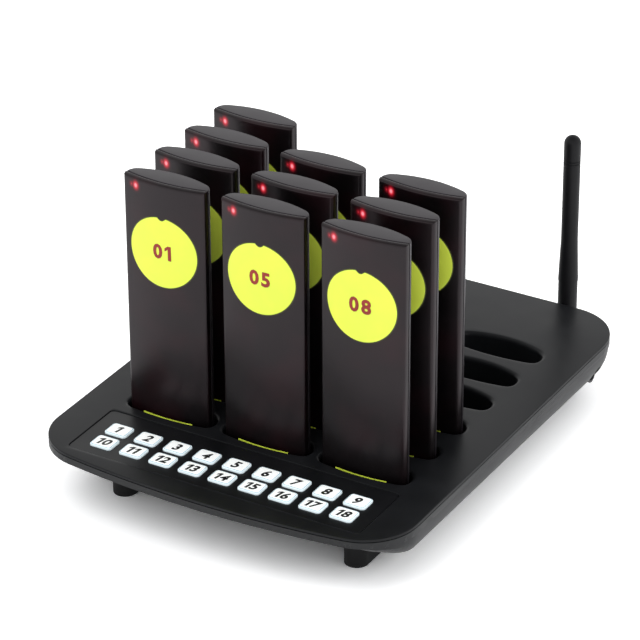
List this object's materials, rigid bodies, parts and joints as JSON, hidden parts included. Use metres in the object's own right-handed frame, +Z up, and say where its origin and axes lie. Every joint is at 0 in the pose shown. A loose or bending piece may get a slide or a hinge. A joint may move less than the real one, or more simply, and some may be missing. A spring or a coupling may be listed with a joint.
{
  "type": "guest pager system",
  "caption": "Counter-top charging base with a numbered keypad, a swivelling rod antenna and slim guest pagers standing in lens-shaped slots.",
  "frame": {"origin": "bottom centre of the whole, on the table under the feet", "axes": "+X to the right of someone facing the keypad, +Y from the keypad to the antenna, +Z up"},
  "size_m": [0.217, 0.2976, 0.1732],
  "materials": {
    "deck_plastic": "fine satin, moulded",
    "shell_plastic": "fine satin, moulded",
    "panel_plastic": "fine satin",
    "key_white": "smooth white plastic",
    "foot_rubber": "soft matt rubber",
    "circuit_board": "solder mask",
    "contact_gold": "polished",
    "screw_steel": "plain",
    "socket_black": "plain",
    "antenna_black": "satin sleeve",
    "smoked_case": "smooth smoked black",
    "smoked_cover": "smooth smoked black"
  },
  "bodies": {
    "base": {"top_shell": "deck_plastic", "bottom_shell": "shell_plastic", "keypad_panel": "panel_plastic", "rubber_feet": "foot_rubber", "main_board": "circuit_board", "charging_contacts": "contact_gold", "key_switches": "circuit_board", "case_screws": "screw_steel", "power_socket": "socket_black", "antenna_socket": "contact_gold"},
    "antenna_elbow": {"antenna_elbow": "antenna_black"},
    "antenna_rod": {"antenna_rod": "antenna_black"},
    "key_01": {"key_01": "key_white"},
    "key_02": {"key_02": "key_white"},
    "key_03": {"key_03": "key_white"},
    "key_04": {"key_04": "key_white"},
    "key_05": {"key_05": "key_white"},
    "key_06": {"key_06": "key_white"},
    "key_07": {"key_07": "key_white"},
    "key_08": {"key_08": "key_white"},
    "key_09": {"key_09": "key_white"},
    "key_10": {"key_10": "key_white"},
    "key_11": {"key_11": "key_white"},
    "key_12": {"key_12": "key_white"},
    "key_13": {"key_13": "key_white"},
    "key_14": {"key_14": "key_white"},
    "key_15": {"key_15": "key_white"},
    "key_16": {"key_16": "key_white"},
    "key_17": {"key_17": "key_white"},
    "key_18": {"key_18": "key_white"},
    "pager_01": {"pager_01_housing": "smoked_case", "pager_01_cover": "smoked_cover", "pager_01_circuit": "circuit_board"},
    "pager_02": {"pager_02_housing": "smoked_case", "pager_02_cover": "smoked_cover", "pager_02_circuit": "circuit_board"},
    "pager_03": {"pager_03_housing": "smoked_case", "pager_03_cover": "smoked_cover", "pager_03_circuit": "circuit_board"},
    "pager_04": {"pager_04_housing": "smoked_case", "pager_04_cover": "smoked_cover", "pager_04_circuit": "circuit_board"},
    "pager_05": {"pager_05_housing": "smoked_case", "pager_05_cover": "smoked_cover", "pager_05_circuit": "circuit_board"},
    "pager_06": {"pager_06_housing": "smoked_case", "pager_06_cover": "smoked_cover", "pager_06_circuit": "circuit_board"},
    "pager_07": {"pager_07_housing": "smoked_case", "pager_07_cover": "smoked_cover", "pager_07_circuit": "circuit_board"},
    "pager_08": {"pager_08_housing": "smoked_case", "pager_08_cover": "smoked_cover", "pager_08_circuit": "circuit_board"},
    "pager_09": {"pager_09_housing": "smoked_case", "pager_09_cover": "smoked_cover", "pager_09_circuit": "circuit_board"},
    "pager_10": {"pager_10_housing": "smoked_case", "pager_10_cover": "smoked_cover", "pager_10_circuit": "circuit_board"}
  },
  "joints": [
    {"name": "antenna_swivel", "type": "hinge", "parent": "base", "child": "antenna_elbow", "pos_m": [0.065, 0.14317, 0.023], "axis": [0, 1, 0], "range_deg": [-90, 90]},
    {"name": "antenna_tilt", "type": "hinge", "parent": "antenna_elbow", "child": "antenna_rod", "pos_m": [0.065, 0.14317, 0.023], "axis": [1, 0, 0], "range_deg": [-90, 0]},
    {"name": "key_01_press", "type": "slide", "parent": "base", "child": "key_01", "axis": [0, 0, -1], "range_m": [0, 0.0005], "stiffness_N_per_m": 600, "springref_m": -0.0005},
    {"name": "key_02_press", "type": "slide", "parent": "base", "child": "key_02", "axis": [0, 0, -1], "range_m": [0, 0.0005], "stiffness_N_per_m": 600, "springref_m": -0.0005},
    {"name": "key_03_press", "type": "slide", "parent": "base", "child": "key_03", "axis": [0, 0, -1], "range_m": [0, 0.0005], "stiffness_N_per_m": 600, "springref_m": -0.0005},
    {"name": "key_04_press", "type": "slide", "parent": "base", "child": "key_04", "axis": [0, 0, -1], "range_m": [0, 0.0005], "stiffness_N_per_m": 600, "springref_m": -0.0005},
    {"name": "key_05_press", "type": "slide", "parent": "base", "child": "key_05", "axis": [0, 0, -1], "range_m": [0, 0.0005], "stiffness_N_per_m": 600, "springref_m": -0.0005},
    {"name": "key_06_press", "type": "slide", "parent": "base", "child": "key_06", "axis": [0, 0, -1], "range_m": [0, 0.0005], "stiffness_N_per_m": 600, "springref_m": -0.0005},
    {"name": "key_07_press", "type": "slide", "parent": "base", "child": "key_07", "axis": [0, 0, -1], "range_m": [0, 0.0005], "stiffness_N_per_m": 600, "springref_m": -0.0005},
    {"name": "key_08_press", "type": "slide", "parent": "base", "child": "key_08", "axis": [0, 0, -1], "range_m": [0, 0.0005], "stiffness_N_per_m": 600, "springref_m": -0.0005},
    {"name": "key_09_press", "type": "slide", "parent": "base", "child": "key_09", "axis": [0, 0, -1], "range_m": [0, 0.0005], "stiffness_N_per_m": 600, "springref_m": -0.0005},
    {"name": "key_10_press", "type": "slide", "parent": "base", "child": "key_10", "axis": [0, 0, -1], "range_m": [0, 0.0005], "stiffness_N_per_m": 600, "springref_m": -0.0005},
    {"name": "key_11_press", "type": "slide", "parent": "base", "child": "key_11", "axis": [0, 0, -1], "range_m": [0, 0.0005], "stiffness_N_per_m": 600, "springref_m": -0.0005},
    {"name": "key_12_press", "type": "slide", "parent": "base", "child": "key_12", "axis": [0, 0, -1], "range_m": [0, 0.0005], "stiffness_N_per_m": 600, "springref_m": -0.0005},
    {"name": "key_13_press", "type": "slide", "parent": "base", "child": "key_13", "axis": [0, 0, -1], "range_m": [0, 0.0005], "stiffness_N_per_m": 600, "springref_m": -0.0005},
    {"name": "key_14_press", "type": "slide", "parent": "base", "child": "key_14", "axis": [0, 0, -1], "range_m": [0, 0.0005], "stiffness_N_per_m": 600, "springref_m": -0.0005},
    {"name": "key_15_press", "type": "slide", "parent": "base", "child": "key_15", "axis": [0, 0, -1], "range_m": [0, 0.0005], "stiffness_N_per_m": 600, "springref_m": -0.0005},
    {"name": "key_16_press", "type": "slide", "parent": "base", "child": "key_16", "axis": [0, 0, -1], "range_m": [0, 0.0005], "stiffness_N_per_m": 600, "springref_m": -0.0005},
    {"name": "key_17_press", "type": "slide", "parent": "base", "child": "key_17", "axis": [0, 0, -1], "range_m": [0, 0.0005], "stiffness_N_per_m": 600, "springref_m": -0.0005},
    {"name": "key_18_press", "type": "slide", "parent": "base", "child": "key_18", "axis": [0, 0, -1], "range_m": [0, 0.0005], "stiffness_N_per_m": 600, "springref_m": -0.0005},
    {"name": "pager_01_lift", "type": "slide", "parent": "base", "child": "pager_01", "axis": [0, 0, 1], "range_m": [0, 0.16]},
    {"name": "pager_02_lift", "type": "slide", "parent": "base", "child": "pager_02", "axis": [0, 0, 1], "range_m": [0, 0.16]},
    {"name": "pager_03_lift", "type": "slide", "parent": "base", "child": "pager_03", "axis": [0, 0, 1], "range_m": [0, 0.16]},
    {"name": "pager_04_lift", "type": "slide", "parent": "base", "child": "pager_04", "axis": [0, 0, 1], "range_m": [0, 0.16]},
    {"name": "pager_05_lift", "type": "slide", "parent": "base", "child": "pager_05", "axis": [0, 0, 1], "range_m": [0, 0.16]},
    {"name": "pager_06_lift", "type": "slide", "parent": "base", "child": "pager_06", "axis": [0, 0, 1], "range_m": [0, 0.16]},
    {"name": "pager_07_lift", "type": "slide", "parent": "base", "child": "pager_07", "axis": [0, 0, 1], "range_m": [0, 0.16]},
    {"name": "pager_08_lift", "type": "slide", "parent": "base", "child": "pager_08", "axis": [0, 0, 1], "range_m": [0, 0.16]},
    {"name": "pager_09_lift", "type": "slide", "parent": "base", "child": "pager_09", "axis": [0, 0, 1], "range_m": [0, 0.16]},
    {"name": "pager_10_lift", "type": "slide", "parent": "base", "child": "pager_10", "axis": [0, 0, 1], "range_m": [0, 0.16]}
  ]
}
